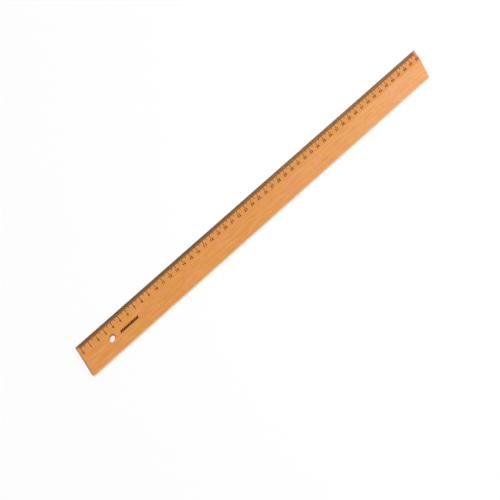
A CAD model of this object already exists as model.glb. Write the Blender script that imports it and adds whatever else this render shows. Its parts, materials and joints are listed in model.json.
import json
import math

import bmesh
import bpy
import numpy as np
from bpy.props import FloatProperty, FloatVectorProperty, IntProperty, PointerProperty
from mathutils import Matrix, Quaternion, Vector


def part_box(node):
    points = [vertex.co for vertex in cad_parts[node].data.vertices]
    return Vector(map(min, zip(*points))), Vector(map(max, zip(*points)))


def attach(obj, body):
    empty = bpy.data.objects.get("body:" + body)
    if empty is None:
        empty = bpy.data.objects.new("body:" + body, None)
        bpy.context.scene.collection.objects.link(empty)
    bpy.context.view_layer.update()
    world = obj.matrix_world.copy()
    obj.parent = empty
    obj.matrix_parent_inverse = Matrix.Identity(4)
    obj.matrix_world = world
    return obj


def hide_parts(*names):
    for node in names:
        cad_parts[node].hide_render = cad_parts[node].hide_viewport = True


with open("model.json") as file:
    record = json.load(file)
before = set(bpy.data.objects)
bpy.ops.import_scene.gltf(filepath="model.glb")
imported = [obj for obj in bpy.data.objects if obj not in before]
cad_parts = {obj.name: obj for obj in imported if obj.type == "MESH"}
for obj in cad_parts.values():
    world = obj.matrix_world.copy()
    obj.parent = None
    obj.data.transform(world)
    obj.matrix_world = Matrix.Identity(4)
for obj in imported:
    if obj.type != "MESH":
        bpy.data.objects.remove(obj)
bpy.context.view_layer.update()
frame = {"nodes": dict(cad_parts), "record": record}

bl_info = {
    "name": "Wooden ruler",
    "version": (1, 0, 0),
    "blender": (4, 5, 0),
    "location": "3D View > Sidebar > Ruler",
    "description": "Finishes a printed wooden ruler: worn beech blade, ink, studio and camera",
    "category": "Object",
}

BODY = "root"
MARK_NODES = ("millimetre_marks", "half_centimetre_marks", "centimetre_marks")
NUMERAL_NODES = tuple(sorted(name for name in frame["nodes"] if name.startswith("numerals_block")))
BAND_NODE = "printed_band"
BLADE_NODE = "wooden_blade"

BLADE_LOW, BLADE_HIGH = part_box(BLADE_NODE)
MM = 0.001
HOLE = next(mount for mount in frame["record"]["mounts"] if mount["name"] == "hanging_hole")
HOLE_MIDDLE = tuple(HOLE["pos_m"][:2])
HOLE_RADIUS = HOLE["dims"]["r_mm"] * MM


def length(name, default, description):
    """A size in metres."""
    return FloatProperty(
        name=name, description=description, default=default, unit="LENGTH", precision=5
    )


def amount(name, default, description):
    """A share from 0 to 1."""
    return FloatProperty(
        name=name, description=description, default=default, min=0.0, max=1.0, subtype="FACTOR"
    )


def colour(name, default, description):
    """A linear colour."""
    return FloatVectorProperty(
        name=name, description=description, default=default, size=3, min=0.0, max=1.0, subtype="COLOR"
    )


def angle(name, degrees, description):
    """An angle, given in degrees and kept in radians."""
    return FloatProperty(
        name=name, description=description, default=math.radians(degrees), subtype="ANGLE"
    )


class RulerBlade(bpy.types.PropertyGroup):
    """Shape of the wooden blade."""

    bevel_width: length("Bevel width", 12.0 * MM, "Width of the sloping scale face, seen from above")
    rim_thickness: length("Rim thickness", 1.2 * MM, "Height of the scale edge")
    plain_round: length("Plain edge round", 0.3 * MM, "Radius of the two arrises of the plain edge")
    scale_round: length("Scale edge round", 0.1 * MM, "Radius of the two arrises of the scale edge")
    ridge_round: length("Ridge round", 3.0 * MM, "Radius where the bevel meets the flat")
    end_round: length("End round", 0.3 * MM, "Radius around both ends")
    hole_chamfer: length("Hole chamfer", 0.5 * MM, "Chamfer at both mouths of the hanging hole")
    station: length("Station", 0.7 * MM, "Distance between two cross sections of the mesh")
    arris_strip: length("Arris strip", 0.3 * MM, "Width of the narrow strip of mesh beside an arris")
    least_round: length("Least round", 0.03 * MM, "Smallest radius of any arris")
    wear_depth: length("Wear depth", 0.12 * MM, "Deepest knock in the plain edge")
    wear_width: length("Wear width", 2.2 * MM, "Usual half width of a knock")
    end_wear: amount("End wear", 0.7, "How rubbed the ends and the hole are")
    wear_knocks: IntProperty(
        name="Knocks", description="Number of small knocks along one arris", default=46
    )
    seed: IntProperty(name="Seed", description="Seed of the random knocks", default=7)


class RulerBeech(bpy.types.PropertyGroup):
    """Colours and grain of the lacquered beech."""

    early: colour("Early wood", (0.772, 0.317, 0.066), "Colour between the growth lines")
    late: colour("Late wood", (0.545, 0.205, 0.038), "Colour of the growth lines")
    blush: colour("Blush", (0.812, 0.337, 0.113), "Pinkish colour of broad patches")
    honey: colour("Honey", (0.718, 0.325, 0.049), "Yellower colour of broad patches")
    fleck: colour("Fleck", (0.380, 0.120, 0.022), "Colour of the short ray flecks")
    end_grain: colour("End grain", (0.420, 0.165, 0.050), "Colour of the sawn ends")
    edge_stain: colour("Edge stain", (0.090, 0.042, 0.018), "Colour of the scale edge, darkened in use")
    bevel: colour("Bevel", (0.520, 0.190, 0.034), "Colour that the planed bevel leans towards")
    grime: colour("Grime", (0.150, 0.068, 0.022), "Pencil dirt beside the scale edge")
    ring_spacing: length("Ring spacing", 2.4 * MM, "Distance between two growth lines")
    ring_amount: amount("Ring amount", 0.36, "Strength of the growth lines")
    patch_amount: amount("Patch amount", 0.85, "Strength of the broad patches of tone")
    fleck_amount: amount("Fleck amount", 0.70, "Strength of the flecks")
    stain_amount: amount("Stain amount", 0.90, "Strength of the stain on the scale edge")
    grime_amount: amount("Grime amount", 0.62, "Strength of the pencil dirt beside the scale edge")
    grime_reach: length(
        "Grime reach", 3.2 * MM, "How far the pencil dirt reaches in from the scale edge"
    )
    bevel_amount: amount("Bevel amount", 0.35, "How much darker the planed bevel is")
    roughness: amount("Roughness", 0.40, "Roughness of the satin lacquer")
    bump: length("Bump", 0.03 * MM, "Depth of the grain under the lacquer")


class RulerInk(bpy.types.PropertyGroup):
    """Colours of the printing."""

    marks: colour("Mark ink", (0.034, 0.014, 0.004), "Ink of the scale marks")
    numbers: colour("Number ink", (0.085, 0.021, 0.002), "Ink of the numbers")
    band: colour("Band ink", (0.050, 0.006, 0.001), "Ink of the printed band")
    thin: colour("Thin ink", (0.200, 0.070, 0.014), "Ink where the wood shows through it")
    thin_amount: amount("Thin amount", 0.22, "How much of the print is thin")
    roughness: amount("Roughness", 0.70, "Roughness of the dry ink")
    gloss: amount("Gloss", 0.12, "Strength of the dry ink's reflection")


class RulerStage(bpy.types.PropertyGroup):
    """Floor, lamps and world."""

    floor: colour("Floor", (0.52, 0.52, 0.52), "Colour of the floor")
    hole_floor: colour("Hole floor", (0.85, 0.85, 0.85), "Colour of the floor under the hole")
    floor_size: length("Floor size", 14.0, "Side of the floor")
    near_glow: amount(
        "Near glow", 0.46, "White added to the floor beside the ruler, where it is seen directly"
    )
    hole_glow: amount("Hole glow", 0.06, "Share of that white left on the floor under the hole")
    world_light: FloatProperty(
        name="World light", description="Level light from all round", default=0.34
    )
    key_light: FloatProperty(name="Key light", description="Irradiance of the key lamp", default=2.85)
    key_spread: angle("Key spread", 9.0, "Apparent size of the key lamp")
    sheen_light: FloatProperty(name="Sheen light", description="Watts of the sheen lamp", default=0.85)
    sheen_size: length("Sheen lamp size", 0.22, "Side of the sheen lamp")


class RulerCamera(bpy.types.PropertyGroup):
    """Where the camera stands."""

    azimuth: angle("Azimuth", -129.48, "0 looks along +Y, 90 along -X")
    elevation: angle("Elevation", 53.61, "Above the horizon")
    roll: angle("Roll", 93.77, "Turn about the line of sight")
    distance: length("Distance", 2.134, "From the aim to the camera")
    aim: FloatVectorProperty(
        name="Aim", description="Point in the middle of the view",
        default=(-0.03697, -0.02910, 0.0), precision=5, unit="LENGTH",
    )
    lens: FloatProperty(
        name="Lens", description="Focal length in millimetres on a 36 mm sensor", default=154.7
    )


# ---------------------------------------------------------------- shader nodes


# How often each pattern repeats in a metre: along the grain, across it and up through it.
WAVER = (5.0, 34.0, 34.0)
DASHES = (520.0, 3600.0, 2600.0)
DASH_CROWDS = (60.0, 240.0, 240.0)
FIBRES = (85.0, 700.0, 700.0)
DRIFT = (42.0, 120.0, 120.0)
GRIME = (160.0, 900.0, 900.0)
WORN_PRINT = (90.0, 220.0, 220.0)
MISSED_DOTS = (6500.0, 6500.0, 6500.0)

# Where the middle of the tree lay: so far beside the blade and so far under it, in metres.
PITH_BESIDE = 0.052
PITH_UNDER = 0.061
# How far the growth lines waver, in metres.
WAVER_REACH = 0.009
# Each growth line darkens slowly, as this power of the way through the year, and ends sharply here.
YEAR_POWER = 2.2
YEAR_END = (1.0, 0.93)

# Where a pattern's noise starts to show and where it shows in full.
DASH_RANGE = (0.60, 0.72)
CROWD_RANGE = (0.35, 0.65)
FIBRE_RANGE = (0.30, 0.75)
BLUSH_RANGE = (0.52, 0.68)
HONEY_RANGE = (0.48, 0.34)
RUB_RANGE = (0.30, 0.70)
WORN_PRINT_RANGE = (0.50, 0.78)
MISSED_DOT_RANGE = (0.60, 0.75)

# Shares of one tone or height in another.
LONE_DASHES = 0.3
FIBRE_SHADE = 0.68
FIBRE_HEIGHT = 0.35
DASH_DEPTH = 0.6
END_GRAIN_SHADE = 0.45
RUBBED_SHADE = 0.50
OPEN_PORES = 0.5

# A face counts as the bevel, or as an end, by how far its normal leans along Y or X.
BEVEL_LEAN = (0.05, 0.15)
END_LEAN = (0.55, 0.95)
# The pencil dirt starts this far from the middle towards the high end, and is full this far from it
# towards the low end, in shares of the way to that end.
DIRT_STARTS, DIRT_FULL = 0.45, 0.50
# How much dirt follows the grime's noise, and how much lies everywhere.
PENCIL_PATCHES = (0.6, 0.7)
RIM_PATCHES = (0.5, 0.6)
# What rubbed wood, open flecks and thin ink add to the roughness.
RUBBED_ROUGHNESS = 0.18
FLECK_ROUGHNESS = 0.10
THIN_INK_ROUGHNESS = -0.12
INK_BUMP = 0.01 * MM


class Tree:
    """Adds nodes to a material or a node group in few words."""

    def __init__(self, tree):
        self.tree = tree

    def node(self, kind, settings=None, **inputs):
        """A node with its settings, and its inputs by name or, where names repeat, by number."""
        node = self.tree.nodes.new(kind)
        for name, value in (settings or {}).items():
            setattr(node, name, value)
        for name, value in inputs.items():
            key = int(name[1:]) if name[0] == "_" else name.replace("_", " ")
            self.feed(node.inputs[key], value)
        return node

    def feed(self, socket, value):
        """Link a socket to another one, or set its value."""
        if isinstance(value, bpy.types.NodeSocket):
            self.tree.links.new(value, socket)
        else:
            socket.default_value = value

    def maths(self, operation, *values):
        """One arithmetic step."""
        inputs = {"_%d" % index: value for index, value in enumerate(values)}
        return self.node("ShaderNodeMath", {"operation": operation}, **inputs).outputs[0]

    def span(self, value, low, high):
        """A smooth step from 0 at low to 1 at high."""
        settings = {"interpolation_type": "SMOOTHSTEP"}
        inputs = {"Value": value, "From_Min": low, "From_Max": high}
        return self.node("ShaderNodeMapRange", settings, **inputs).outputs[0]

    def noise(self, place, repeats, detail=2.0, roughness=0.5, distortion=0.0):
        """Fractal noise from 0 to 1, with so many repeats in a metre on each axis."""
        scaled = self.node("ShaderNodeMapping", None, Vector=place, Scale=repeats).outputs[0]
        inputs = {
            "Vector": scaled, "Scale": 1.0, "Detail": detail, "Roughness": roughness,
            "Distortion": distortion,
        }
        return self.node("ShaderNodeTexNoise", None, **inputs).outputs[0]

    def mix(self, factor, first, second):
        """A blend of two colours."""
        settings = {"data_type": "RGBA", "clamp_factor": True}
        node = self.node("ShaderNodeMix", settings)
        for index, value in ((0, factor), (6, first), (7, second)):
            self.feed(node.inputs[index], value)
        return node.outputs[2]


def new_group(name, inputs, outputs):
    """An empty node group with named sockets, its tree helper and its two end nodes."""
    group = bpy.data.node_groups.new(name, "ShaderNodeTree")
    for label, kind, default in inputs:
        socket = group.interface.new_socket(name=label, in_out="INPUT", socket_type=kind)
        if default is not None:
            socket.default_value = default
    for label, kind in outputs:
        group.interface.new_socket(name=label, in_out="OUTPUT", socket_type=kind)
    tree = Tree(group)
    return group, tree, tree.node("NodeGroupInput"), tree.node("NodeGroupOutput")


def wood_grain_group():
    """Beech as a solid pattern that runs along X.

    Growth lines are shells about a far pith line parallel to X, wavering slowly along it. Flecks
    are short dashes, fibres are fine streaks, and blush and honey are two broad drifts of tone.
    """
    if "beech grain" in bpy.data.node_groups:
        return bpy.data.node_groups["beech grain"]
    group, tree, given, result = new_group(
        "beech grain",
        (("Vector", "NodeSocketVector", None), ("Ring Spacing", "NodeSocketFloat", 2.4 * MM)),
        (
            ("Rings", "NodeSocketFloat"), ("Flecks", "NodeSocketFloat"), ("Fibres", "NodeSocketFloat"),
            ("Blush", "NodeSocketFloat"), ("Honey", "NodeSocketFloat"), ("Height", "NodeSocketFloat"),
        ),
    )
    place = given.outputs["Vector"]
    waver = tree.noise(place, WAVER, detail=3.0, roughness=0.55)
    parts = tree.node("ShaderNodeSeparateXYZ", None, Vector=place)
    across = tree.maths("ADD", parts.outputs["Y"], PITH_BESIDE)
    up = tree.maths("ADD", parts.outputs["Z"], PITH_UNDER)
    squares = tree.maths("ADD", tree.maths("POWER", across, 2.0), tree.maths("POWER", up, 2.0))
    radius = tree.maths("SQRT", squares)
    shaken = tree.maths("ADD", radius, tree.maths("MULTIPLY", waver, WAVER_REACH))
    year = tree.maths("FRACT", tree.maths("DIVIDE", shaken, given.outputs["Ring Spacing"]))
    rings = tree.maths("MULTIPLY", tree.maths("POWER", year, YEAR_POWER), tree.span(year, *YEAR_END))
    tree.feed(result.inputs["Rings"], rings)
    dashes = tree.span(tree.noise(place, DASHES, detail=1.0, roughness=0.4), *DASH_RANGE)
    crowd = tree.span(tree.noise(place, DASH_CROWDS), *CROWD_RANGE)
    crowding = tree.maths("MULTIPLY_ADD", crowd, 1.0 - LONE_DASHES, LONE_DASHES)
    flecks = tree.maths("MULTIPLY", dashes, crowding)
    tree.feed(result.inputs["Flecks"], flecks)
    fibres = tree.noise(place, FIBRES, detail=5.0, roughness=0.66)
    tree.feed(result.inputs["Fibres"], fibres)
    drift = tree.noise(place, DRIFT, detail=3.0, roughness=0.55, distortion=0.4)
    tree.feed(result.inputs["Blush"], tree.span(drift, *BLUSH_RANGE))
    tree.feed(result.inputs["Honey"], tree.span(drift, *HONEY_RANGE))
    raised = tree.maths("MULTIPLY", fibres, FIBRE_HEIGHT)
    height = tree.maths("SUBTRACT", raised, tree.maths("MULTIPLY", flecks, DASH_DEPTH))
    tree.feed(result.inputs["Height"], height)
    return group


def print_cover_group():
    """How thinly the ink lies: worn patches, open pores of the wood and a speckle of missed dots."""
    if "print cover" in bpy.data.node_groups:
        return bpy.data.node_groups["print cover"]
    group, tree, given, result = new_group(
        "print cover",
        (("Vector", "NodeSocketVector", None), ("Pores", "NodeSocketFloat", 0.0)),
        (("Thin", "NodeSocketFloat"), ("Height", "NodeSocketFloat")),
    )
    place = given.outputs["Vector"]
    worn = tree.span(tree.noise(place, WORN_PRINT, detail=3.0, roughness=0.6), *WORN_PRINT_RANGE)
    speckle = tree.span(tree.noise(place, MISSED_DOTS, detail=1.0), *MISSED_DOT_RANGE)
    open_pores = tree.maths("MULTIPLY", given.outputs["Pores"], OPEN_PORES)
    thin = tree.maths("ADD", tree.maths("MAXIMUM", worn, speckle), open_pores)
    tree.feed(result.inputs["Thin"], tree.maths("MINIMUM", thin, 1.0))
    tree.feed(result.inputs["Height"], tree.maths("SUBTRACT", 1.0, thin))
    return group


def new_material(name):
    """A material with a Principled BSDF, and the helper, the shader and the object coordinates."""
    material = bpy.data.materials.new(name)
    material.use_nodes = True
    tree = Tree(material.node_tree)
    shader = material.node_tree.nodes["Principled BSDF"]
    place = tree.node("ShaderNodeTexCoord").outputs["Object"]
    return material, tree, shader, place


def add_bump(tree, shader, height, distance):
    """Turn a height from 0 to 1 into a bump of a real depth."""
    bump = tree.node("ShaderNodeBump", None, Strength=1.0, Distance=distance, Height=height)
    tree.feed(shader.inputs["Normal"], bump.outputs[0])


def pencil_dirt(tree, place, grime, clean, beech):
    """The wood's colour with pencil dirt beside the scale edge, heaviest at the much used low marks."""
    at = tree.node("ShaderNodeSeparateXYZ", None, Vector=place).outputs
    edge, reach = BLADE_HIGH.y, beech.grime_reach
    beside_edge = tree.span(at["Y"], edge - reach, edge - reach / 3)
    low_marks = tree.span(at["X"], DIRT_STARTS * BLADE_HIGH.x, DIRT_FULL * BLADE_LOW.x)
    patchy = tree.maths("MULTIPLY_ADD", grime, *PENCIL_PATCHES)
    share = tree.maths("MULTIPLY", tree.maths("MULTIPLY", beside_edge, low_marks), patchy)
    return tree.mix(tree.maths("MULTIPLY", share, beech.grime_amount), clean, (*beech.grime, 1.0))


def beech_material(beech):
    """Satin lacquered beech, darker on the sawn ends and rubbed along its arrises."""
    material, tree, shader, place = new_material("lacquered beech")
    grain = tree.node("ShaderNodeGroup", {"node_tree": wood_grain_group()}, Vector=place)
    tree.feed(grain.inputs["Ring Spacing"], beech.ring_spacing)
    blush = tree.maths("MULTIPLY", grain.outputs["Blush"], beech.patch_amount)
    honey = tree.maths("MULTIPLY", grain.outputs["Honey"], beech.patch_amount)
    blushed = tree.mix(blush, (*beech.early, 1.0), (*beech.blush, 1.0))
    toned = tree.mix(honey, blushed, (*beech.honey, 1.0))
    rings = tree.maths("MULTIPLY", grain.outputs["Rings"], beech.ring_amount)
    lined = tree.mix(rings, toned, (*beech.late, 1.0))
    fibre_shade = tree.maths("MULTIPLY", tree.span(grain.outputs["Fibres"], *FIBRE_RANGE), FIBRE_SHADE)
    combed = tree.mix(fibre_shade, lined, (*beech.late, 1.0))
    flecks = tree.maths("MULTIPLY", grain.outputs["Flecks"], beech.fleck_amount)
    flecked = tree.mix(flecks, combed, (*beech.fleck, 1.0))
    normal = tree.node("ShaderNodeTexCoord").outputs["Normal"]
    facing = tree.node("ShaderNodeSeparateXYZ", None, Vector=normal)
    sloping = tree.span(facing.outputs["Y"], *BEVEL_LEAN)
    planed = tree.mix(tree.maths("MULTIPLY", sloping, beech.bevel_amount), flecked, (*beech.bevel, 1.0))
    end_on = tree.span(tree.maths("ABSOLUTE", facing.outputs["X"]), *END_LEAN)
    sawn = tree.mix(tree.maths("MULTIPLY", end_on, END_GRAIN_SHADE), planed, (*beech.end_grain, 1.0))
    grime = tree.noise(place, GRIME, detail=3.0, roughness=0.6)
    dirtied = pencil_dirt(tree, place, grime, sawn, beech)
    wear = tree.node("ShaderNodeAttribute", {"attribute_name": "wear"}).outputs["Fac"]
    rubbed = tree.maths("MULTIPLY", wear, tree.span(grime, *RUB_RANGE))
    scuffed = tree.mix(tree.maths("MULTIPLY", rubbed, RUBBED_SHADE), dirtied, (*beech.end_grain, 1.0))
    rim = tree.node("ShaderNodeAttribute", {"attribute_name": "rim"}).outputs["Fac"]
    patchy = tree.maths("MULTIPLY_ADD", grime, *RIM_PATCHES)
    stain = tree.maths("MULTIPLY", tree.maths("MULTIPLY", rim, beech.stain_amount), patchy)
    tree.feed(shader.inputs["Base Color"], tree.mix(stain, scuffed, (*beech.edge_stain, 1.0)))
    matt = tree.maths("MULTIPLY_ADD", rubbed, RUBBED_ROUGHNESS, beech.roughness)
    rough = tree.maths("MULTIPLY_ADD", grain.outputs["Flecks"], FLECK_ROUGHNESS, matt)
    tree.feed(shader.inputs["Roughness"], rough)
    add_bump(tree, shader, grain.outputs["Height"], beech.bump)
    return material


def ink_material(name, dense, ink):
    """Printing ink of one colour that thins out over the pores and where it is rubbed."""
    material, tree, shader, place = new_material(name)
    grain = tree.node("ShaderNodeGroup", {"node_tree": wood_grain_group()}, Vector=place)
    cover = tree.node("ShaderNodeGroup", {"node_tree": print_cover_group()}, Vector=place)
    tree.feed(cover.inputs["Pores"], grain.outputs["Flecks"])
    thin = tree.maths("MULTIPLY", cover.outputs["Thin"], ink.thin_amount)
    tree.feed(shader.inputs["Base Color"], tree.mix(thin, (*dense, 1.0), (*ink.thin, 1.0)))
    rough = tree.maths("MULTIPLY_ADD", thin, THIN_INK_ROUGHNESS, ink.roughness)
    tree.feed(shader.inputs["Roughness"], rough)
    shader.inputs["Specular IOR Level"].default_value = ink.gloss
    add_bump(tree, shader, cover.outputs["Height"], INK_BUMP)
    return material


def coat_nodes(names, material):
    """Give CAD nodes a material in their first slot."""
    for name in names:
        frame["nodes"][name].data.materials.clear()
        frame["nodes"][name].data.materials.append(material)


# ---------------------------------------------------------------- the blade's surface


# Steps across a rounded arris, and cells along each side of the square round the hole.
ARC_STEPS = 5
HOLE_CELLS = 16
# The five arrises round the blade's section, in the order of section_corners.
PLAIN_FOOT, SCALE_FOOT, SCALE_TOP, RIDGE, PLAIN_TOP = range(5)
# How rubbed each arris is, from 0 to 1.
ARRIS_WEAR = {PLAIN_FOOT: 1.0, PLAIN_TOP: 1.0, SCALE_FOOT: 0.6, SCALE_TOP: 0.3, RIDGE: 0.0}
# Knocks differ in depth and width, in shares of the deepest and of the usual one.
KNOCK_DEPTHS = (0.1, 1.0)
KNOCK_WIDTHS = (0.4, 1.6)
# Which arrises have knocks, and the depth of those in shares of the deepest. The printing lies beside
# the scale's top arris and the ridge, so those two stay whole.
KNOCKED_ARRISES = {PLAIN_FOOT: 1.0, PLAIN_TOP: 1.0, SCALE_FOOT: 1 / 3}
SHARP_CORNER = math.radians(40)


def unit(vectors):
    """Vectors scaled to length one."""
    return vectors / np.linalg.norm(vectors, axis=-1, keepdims=True)


def section_corners(blade):
    """The five corners of the blade's section, anticlockwise as seen from +X, as (y, z)."""
    return np.array(
        [
            (BLADE_LOW.y, BLADE_LOW.z),
            (BLADE_HIGH.y, BLADE_LOW.z),
            (BLADE_HIGH.y, BLADE_LOW.z + blade.rim_thickness),
            (BLADE_HIGH.y - blade.bevel_width, BLADE_HIGH.z),
            (BLADE_LOW.y, BLADE_HIGH.z),
        ]
    )


def knocks_along(places, blade, rng):
    """A sum of bell curves at random places along one arris, each with its own depth, up to 1."""
    centres = rng.uniform(places.min(), places.max(), blade.wear_knocks)
    depths = rng.uniform(*KNOCK_DEPTHS, blade.wear_knocks) ** 2
    widths = blade.wear_width * rng.uniform(*KNOCK_WIDTHS, blade.wear_knocks)
    away = (places[:, None] - centres[None, :]) / widths[None, :]
    return np.minimum((depths * np.exp(-(away ** 2))).sum(axis=1), 1.0)


def blade_stations(blade, hole_x, half_cell):
    """Places along X of the cross sections, and how far each is drawn in towards the middle.

    Both ends run through a quarter circle: x moves by the sine of the angle and the inset is one
    minus its cosine. Across the hole's cell the stations divide the cell evenly.
    """
    quarter = np.linspace(0.0, math.pi / 2, ARC_STEPS)
    left, right = BLADE_LOW.x + blade.end_round, BLADE_HIGH.x - blade.end_round
    cell_left, cell_right = hole_x - half_cell, hole_x + half_cell
    before = np.linspace(left, cell_left, round((cell_left - left) / blade.station))
    inside = np.linspace(cell_left, cell_right, HOLE_CELLS + 1)
    after = np.linspace(cell_right, right, round((right - cell_right) / blade.station))
    first_end = left - blade.end_round * np.sin(quarter[:0:-1])
    last_end = right + blade.end_round * np.sin(quarter[1:])
    places = np.concatenate([first_end, before[:-1], inside, after[1:], last_end])
    end_inset = blade.end_round * (1.0 - np.cos(quarter))
    between = np.zeros(len(places) - 2 * (ARC_STEPS - 1))
    insets = np.concatenate([end_inset[:0:-1], between, end_inset[1:]])
    return places, insets, len(first_end) + len(before) - 1


def arris_arcs(blade, corners, places, insets):
    """The rounded arrises at every station, as (station, corner, step, yz).

    Each arris is a fan of unit vectors swung from the normal of one side to the next, times the
    radius, about a centre on the corner's mitre line. The mitre is minus the sum of both normals
    over one plus their dot product, so a step along it draws both sides in by that step. The
    insets of the ends and the knocks of wear move the centre along it.
    """
    sides = unit(np.roll(corners, -1, axis=0) - corners)
    outward = np.stack([sides[:, 1], -sides[:, 0]], axis=1)
    before = np.roll(outward, 1, axis=0)
    meeting = (before * outward).sum(axis=1, keepdims=True)
    mitre = -(before + outward) / (1.0 + meeting)
    share = np.linspace(0.0, 1.0, ARC_STEPS)[None, :, None]
    turn = np.arccos(meeting)[:, :, None]
    swung = np.sin((1.0 - share) * turn) * before[:, None] + np.sin(share * turn) * outward[:, None]
    fan = swung / np.sin(turn)
    rounds = np.empty(len(corners))
    rounds[[PLAIN_FOOT, PLAIN_TOP]] = blade.plain_round
    rounds[[SCALE_FOOT, SCALE_TOP]] = blade.scale_round
    rounds[RIDGE] = blade.ridge_round
    radius = np.maximum(rounds[None, :] - insets[:, None], blade.least_round)
    rng = np.random.default_rng(blade.seed)
    knocks = np.zeros((len(places), len(corners)))
    for corner, deep in KNOCKED_ARRISES.items():
        knocks[:, corner] = deep * blade.wear_depth * knocks_along(places, blade, rng)
    drawn_in = insets[:, None] + knocks + radius
    centre = corners[None] + drawn_in[:, :, None] * mitre[None]
    return centre[:, :, None] + radius[:, :, None, None] * fan[None]


def blade_grid(blade, hole_y, half_cell, places, insets):
    """The skin of the blade: one row for each station, one column round the section.

    The columns are the steps of each arris and, between two arrises, shares of the straight side
    that joins them. The underside and the flat of the top also get the lines of the hole's cell.
    """
    corners = section_corners(blade)
    arcs = arris_arcs(blade, corners, places, insets)
    columns, wear, rim = [], [], []
    cell_lines = hole_y + np.linspace(-half_cell, half_cell, HOLE_CELLS + 1)
    cell_columns = {}
    for corner in range(len(corners)):
        start, end = arcs[:, corner, -1], arcs[:, (corner + 1) % len(corners), 0]
        beside = blade.arris_strip / np.linalg.norm(end - start, axis=1).mean()
        # The ridge is too blunt to need a strip beside it.
        shares = [] if corner == RIDGE else [beside]
        if corner in (PLAIN_FOOT, RIDGE):
            side_start, side_end = start[len(places) // 2, 0], end[len(places) // 2, 0]
            first_line = len(columns) + ARC_STEPS + len(shares)
            cell_columns[corner] = first_line + np.arange(HOLE_CELLS + 1)
            shares.extend(np.sort((cell_lines - side_start) / (side_end - side_start)))
        if corner != SCALE_TOP:
            shares.append(1.0 - beside)
        columns.extend(arcs[:, corner, step] for step in range(ARC_STEPS))
        columns.extend(start + (end - start) * share for share in shares)
        wear.extend([ARRIS_WEAR[corner]] * ARC_STEPS + [0.0] * len(shares))
        on_rim = 1.0 if corner in (SCALE_FOOT, SCALE_TOP) else 0.0
        rim.extend([on_rim] * ARC_STEPS + [float(corner == SCALE_FOOT)] * len(shares))
    skin = np.stack(columns, axis=1)
    across = np.broadcast_to(places[:, None, None], (*skin.shape[:2], 1))
    grid = np.concatenate([across, skin], axis=2)
    worn_end = np.where(insets > 0.0, blade.end_wear, 0.0)
    wear_shares = np.maximum(np.array(wear)[None, :], worn_end[:, None])
    rim_shares = np.broadcast_to(np.array(rim)[None, :], wear_shares.shape)
    # The top flat runs from the ridge to the plain edge, against Y, so its lines are turned about.
    return grid, wear_shares, rim_shares, cell_columns[PLAIN_FOOT], cell_columns[RIDGE][::-1]


def hole_rings(blade, centre, bearing):
    """Rings of the hanging hole from its top mouth down to its lower mouth.

    Each ring is a circle about the hole's axis. Radius and height follow the chamfer in, the wall
    down and the chamfer out again, with a short step beside each arris to keep it crisp.
    """
    chamfer, soft = blade.hole_chamfer, blade.least_round
    outline = (
        (HOLE_RADIUS + chamfer + soft, 0.0),
        (HOLE_RADIUS + chamfer - soft, soft),
        (HOLE_RADIUS + soft, chamfer - soft),
        (HOLE_RADIUS, chamfer + soft),
    )
    top = [(radius, BLADE_HIGH.z - depth) for radius, depth in outline]
    under = [(radius, BLADE_LOW.z + depth) for radius, depth in reversed(outline)]
    radii, heights = np.array(top + under).T
    around = np.stack([np.cos(bearing), np.sin(bearing)], axis=1)
    flat = centre[None, None, :] + radii[:, None, None] * around[None]
    level = np.broadcast_to(heights[:, None, None], (*flat.shape[:2], 1))
    return np.concatenate([flat, level], axis=2)


def cell_loop(first_row):
    """Rows and cell lines of the vertices round the hole's square cell, in order."""
    step = np.arange(HOLE_CELLS)
    first, last = np.zeros(HOLE_CELLS, int), np.full(HOLE_CELLS, HOLE_CELLS)
    rows = first_row + np.concatenate([step, last, last - step, first])
    lines = np.concatenate([first, step, last, last - step])
    return rows, lines


def build_worn_blade(blade):
    """The blade's mesh: a grid skin, two end faces and the hanging hole let into the grid."""
    hole = np.array(HOLE_MIDDLE)
    half_cell = HOLE_RADIUS + blade.hole_chamfer + blade.arris_strip
    places, insets, first_row = blade_stations(blade, hole[0], half_cell)
    grid, wear, rim, under, top = blade_grid(blade, hole[1], half_cell, places, insets)
    rows, columns = grid.shape[:2]
    number = np.arange(rows * columns).reshape(rows, columns)
    ahead = np.roll(number, -1, axis=1)
    faces = np.stack([number[:-1], number[1:], ahead[1:], ahead[:-1]], axis=2)
    solid = np.ones(faces.shape[:2], bool)
    for side in (under, top):
        solid[first_row:first_row + HOLE_CELLS, side.min():side.max()] = False
    loop_rows, loop_lines = cell_loop(first_row)
    top_loop, under_loop = number[loop_rows, top[loop_lines]], number[loop_rows, under[loop_lines]]
    outer = grid.reshape(-1, 3)[top_loop, :2] - hole
    rings = hole_rings(blade, hole, np.arctan2(outer[:, 1], outer[:, 0]))
    ring_numbers = rows * columns + np.arange(rings[..., 0].size).reshape(rings.shape[:2])
    chain = [top_loop, *ring_numbers, under_loop]
    bands = [
        np.stack([upper, np.roll(upper, -1), np.roll(lower, -1), lower], axis=1)
        for upper, lower in zip(chain[:-1], chain[1:])
    ]
    vertices = np.concatenate([grid.reshape(-1, 3), rings.reshape(-1, 3)])
    quads = np.concatenate([faces[solid], *bands])
    mesh = bpy.data.meshes.new("worn_blade")
    mesh.from_pydata(vertices, [], [*quads.tolist(), number[0].tolist(), number[-1].tolist()])
    ring_wear = np.full(rings[..., 0].size, blade.end_wear)
    for name, values, in_hole in (("wear", wear, ring_wear), ("rim", rim, 0.0 * ring_wear)):
        shares = np.concatenate([values.ravel(), in_hole]).astype(np.float32)
        mesh.attributes.new(name, "FLOAT", "POINT").data.foreach_set("value", shares)
    return mesh


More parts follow.
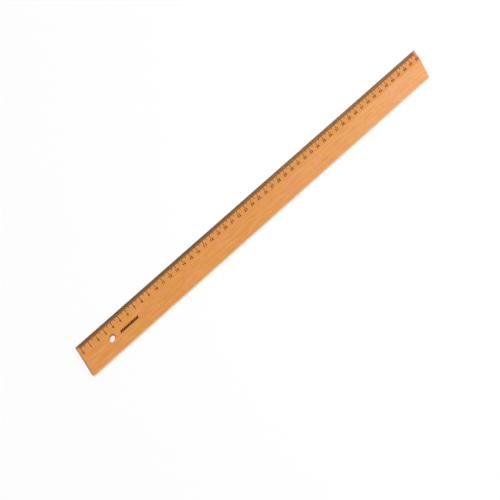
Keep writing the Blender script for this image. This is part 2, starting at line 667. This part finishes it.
def tidy_mesh(mesh):
    """Turn all faces outwards, then shade them smooth except across clear corners."""
    work = bmesh.new()
    work.from_mesh(mesh)
    bmesh.ops.recalc_face_normals(work, faces=work.faces)
    work.to_mesh(mesh)
    work.free()
    mesh.shade_smooth()
    mesh.set_sharp_from_angle(angle=SHARP_CORNER)


# ---------------------------------------------------------------- floor, lamps and world


# The floor lies this far under the ruler.
FLOOR_GAP = 0.05 * MM
FLOOR_ROUGHNESS = 0.9
# From the ruler's middle, the floor's white grows between these two distances, in metres.
WHITE_GROWS = (0.35, 1.6)
# Beyond the hole's wall, the floor under the hole gives way to the open floor between these two.
HOLE_FLOOR_ENDS = (0.5 * MM, 2.5 * MM)
WHITE = (1.0, 1.0, 1.0, 1.0)
# Where the lamps stand, in metres: the key from the middle, the sheen lamp from the blade's far end.
KEY_STANDS = Vector((-0.40, 0.95, 1.00))
SHEEN_STANDS = Vector((0.334, -0.205, 0.454))
# The nearest and the farthest distance that the camera shows, in metres.
CAMERA_SEES = (0.01, 100.0)


def seen_by_eye(tree):
    """1 for rays that show a background: camera, glossy and transmission rays."""
    rays = tree.node("ShaderNodeLightPath").outputs
    glossy_or_clear = tree.maths("MAXIMUM", rays["Is Glossy Ray"], rays["Is Transmission Ray"])
    return tree.maths("MAXIMUM", rays["Is Camera Ray"], glossy_or_clear)


def floor_material(stage):
    """A pale floor that keeps the shadow beside the ruler and fades to plain white further out."""
    material, tree, shader, place = new_material("pale floor")
    shader.inputs["Roughness"].default_value = FLOOR_ROUGHNESS
    shader.inputs["Specular IOR Level"].default_value = 0.0
    away = tree.node("ShaderNodeVectorMath", {"operation": "LENGTH"}, _0=place).outputs["Value"]
    glow = tree.node(
        "ShaderNodeMapRange", {"interpolation_type": "SMOOTHSTEP"},
        Value=away, From_Min=WHITE_GROWS[0], From_Max=WHITE_GROWS[1],
        To_Min=stage.near_glow, To_Max=1.0,
    ).outputs[0]
    from_hole = tree.node(
        "ShaderNodeVectorMath", {"operation": "DISTANCE"}, _0=place, _1=(*HOLE_MIDDLE, 0.0)
    ).outputs["Value"]
    open_floor = tree.span(from_hole, *(HOLE_RADIUS + reach for reach in HOLE_FLOOR_ENDS))
    tone = tree.mix(open_floor, (*stage.hole_floor, 1.0), (*stage.floor, 1.0))
    tree.feed(shader.inputs["Base Color"], tone)
    share = tree.maths("MULTIPLY_ADD", open_floor, 1.0 - stage.hole_glow, stage.hole_glow)
    glow = tree.maths("MULTIPLY", glow, share)
    shader.inputs["Emission Color"].default_value = WHITE
    tree.feed(shader.inputs["Emission Strength"], tree.maths("MULTIPLY", glow, seen_by_eye(tree)))
    return material


def add_floor(stage):
    """A flat floor just under the ruler."""
    half = stage.floor_size / 2
    height = BLADE_LOW.z - FLOOR_GAP
    corners = [(x * half, y * half, height) for x, y in ((-1, -1), (1, -1), (1, 1), (-1, 1))]
    mesh = bpy.data.meshes.new("floor")
    mesh.from_pydata(corners, [], [(0, 1, 2, 3)])
    mesh.materials.append(floor_material(stage))
    floor = bpy.data.objects.new("floor", mesh)
    bpy.context.scene.collection.objects.link(floor)


def aim_lamp(lamp, position, target):
    """Place a lamp and point it at a target."""
    lamp.location = position
    lamp.rotation_euler = (target - position).to_track_quat("-Z", "Y").to_euler()


def add_lamp(name, kind, position, target):
    """A white lamp that looks at a target."""
    data = bpy.data.lights.new(name, kind)
    lamp = bpy.data.objects.new(name, data)
    bpy.context.scene.collection.objects.link(lamp)
    aim_lamp(lamp, position, target)
    return data


def add_world(stage):
    """Level white light from all round, seen as plain white."""
    world = bpy.data.worlds.new("studio")
    bpy.context.scene.world = world
    world.use_nodes = True
    tree = Tree(world.node_tree)
    background = world.node_tree.nodes["Background"]
    background.inputs["Color"].default_value = WHITE
    lift = 1.0 - stage.world_light
    strength = tree.maths("MULTIPLY_ADD", seen_by_eye(tree), lift, stage.world_light)
    tree.feed(background.inputs["Strength"], strength)


# ---------------------------------------------------------------- operators


class RULER_OT_blade(bpy.types.Operator):
    """Builds the worn beech blade in place of the plain one"""

    bl_idname = "ruler.blade"
    bl_label = "Beech blade"

    def execute(self, context):
        mesh = build_worn_blade(context.scene.ruler_blade)
        tidy_mesh(mesh)
        piece = bpy.data.objects.new("worn_blade", mesh)
        context.scene.collection.objects.link(piece)
        mesh.materials.append(beech_material(context.scene.ruler_beech))
        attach(piece, BODY)
        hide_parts(BLADE_NODE)
        return {"FINISHED"}


class RULER_OT_marks(bpy.types.Operator):
    """Inks the millimetre, half centimetre and centimetre marks"""

    bl_idname = "ruler.marks"
    bl_label = "Scale marks"

    def execute(self, context):
        ink = context.scene.ruler_ink
        coat_nodes(MARK_NODES, ink_material("mark ink", ink.marks, ink))
        return {"FINISHED"}


class RULER_OT_numerals(bpy.types.Operator):
    """Inks the numbers"""

    bl_idname = "ruler.numerals"
    bl_label = "Numbers"

    def execute(self, context):
        ink = context.scene.ruler_ink
        coat_nodes(NUMERAL_NODES, ink_material("number ink", ink.numbers, ink))
        return {"FINISHED"}


class RULER_OT_band(bpy.types.Operator):
    """Inks the printed band"""

    bl_idname = "ruler.band"
    bl_label = "Printed band"

    def execute(self, context):
        ink = context.scene.ruler_ink
        coat_nodes((BAND_NODE,), ink_material("band ink", ink.band, ink))
        return {"FINISHED"}


class RULER_OT_stage(bpy.types.Operator):
    """Lays the floor and sets the lamps and the world"""

    bl_idname = "ruler.stage"
    bl_label = "Stage"

    def execute(self, context):
        stage = context.scene.ruler_stage
        add_floor(stage)
        add_world(stage)
        middle = Vector((0.0, 0.0, 0.0))
        key = add_lamp("key", "SUN", KEY_STANDS, middle)
        key.energy = stage.key_light
        key.angle = stage.key_spread
        far_end = Vector((BLADE_HIGH.x, 0.0, 0.0))
        sheen = add_lamp("sheen", "AREA", far_end + SHEEN_STANDS, far_end)
        sheen.energy = stage.sheen_light
        sheen.size = stage.sheen_size
        context.scene.view_settings.view_transform = "Standard"
        return {"FINISHED"}


class RULER_OT_camera(bpy.types.Operator):
    """Sets the camera"""

    bl_idname = "ruler.camera"
    bl_label = "Camera"

    def execute(self, context):
        place = context.scene.ruler_camera
        level = math.cos(place.elevation)
        back = Vector(
            (
                math.sin(place.azimuth) * level,
                -math.cos(place.azimuth) * level,
                math.sin(place.elevation),
            )
        )
        data = bpy.data.cameras.new("camera")
        data.lens = place.lens
        data.clip_start, data.clip_end = CAMERA_SEES
        camera = bpy.data.objects.new("camera", data)
        context.scene.collection.objects.link(camera)
        camera.rotation_mode = "QUATERNION"
        camera.location = Vector(place.aim) + back * place.distance
        roll = Quaternion((0, 0, 1), place.roll)
        camera.rotation_quaternion = (-back).to_track_quat("-Z", "Y") @ roll
        context.scene.camera = camera
        return {"FINISHED"}


OPERATORS = (
    RULER_OT_blade, RULER_OT_marks, RULER_OT_numerals, RULER_OT_band, RULER_OT_stage, RULER_OT_camera,
)
SETTINGS = {
    "ruler_blade": RulerBlade,
    "ruler_beech": RulerBeech,
    "ruler_ink": RulerInk,
    "ruler_stage": RulerStage,
    "ruler_camera": RulerCamera,
}


class RULER_PT_panel(bpy.types.Panel):
    """Lists the ruler's pieces and their settings"""

    bl_idname = "RULER_PT_panel"
    bl_label = "Wooden ruler"
    bl_space_type = "VIEW_3D"
    bl_region_type = "UI"
    bl_category = "Ruler"

    def draw(self, context):
        for operator in OPERATORS:
            self.layout.operator(operator.bl_idname)
        for name, group in SETTINGS.items():
            box = self.layout.box()
            for setting in group.__annotations__:
                box.prop(getattr(context.scene, name), setting)


def register():
    for group in (*SETTINGS.values(), *OPERATORS, RULER_PT_panel):
        bpy.utils.register_class(group)
    for name, group in SETTINGS.items():
        setattr(bpy.types.Scene, name, PointerProperty(type=group))


def unregister():
    for name in SETTINGS:
        delattr(bpy.types.Scene, name)
    for group in (RULER_PT_panel, *OPERATORS, *SETTINGS.values()):
        bpy.utils.unregister_class(group)


def main():
    register()
    bpy.ops.ruler.blade()
    bpy.ops.ruler.marks()
    bpy.ops.ruler.numerals()
    bpy.ops.ruler.band()
    bpy.ops.ruler.stage()
    bpy.ops.ruler.camera()


if __name__ == "__main__":
    main()
